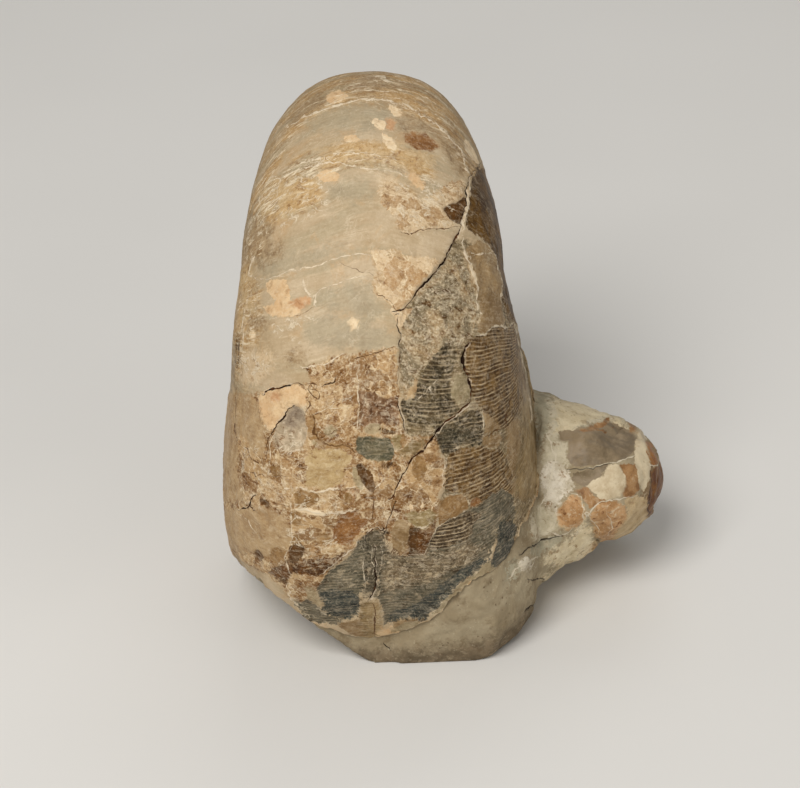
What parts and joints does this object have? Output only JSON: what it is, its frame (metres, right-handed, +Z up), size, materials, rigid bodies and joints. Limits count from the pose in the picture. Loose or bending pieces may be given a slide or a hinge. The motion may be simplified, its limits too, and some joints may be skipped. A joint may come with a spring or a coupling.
{
  "type": "ammonite fossil",
  "caption": "Plump, tightly coiled ammonite standing on the flat broken face of its mudstone, with a piece of a second shell on a lump at its side.",
  "frame": {"origin": "centre of the bounding box on the plane of the broken mudstone face that the fossil stands on", "axes": "+Z up, +X along the coil's axis towards the lump with the second shell, -Y towards the broken end of the last whorl"},
  "size_m": [0.06, 0.069, 0.069],
  "materials": {
    "shell": "polished shell replaced by mineral, grey-beige to brown, with cracks and flaked patches",
    "matrix": "rough pale mudstone",
    "side_shell": "satin shell, grey-brown, orange-brown and cream"
  },
  "bodies": {
    "root": {"ammonite_shell": "shell", "matrix": "matrix", "side_shell": "side_shell"}
  },
  "joints": []
}
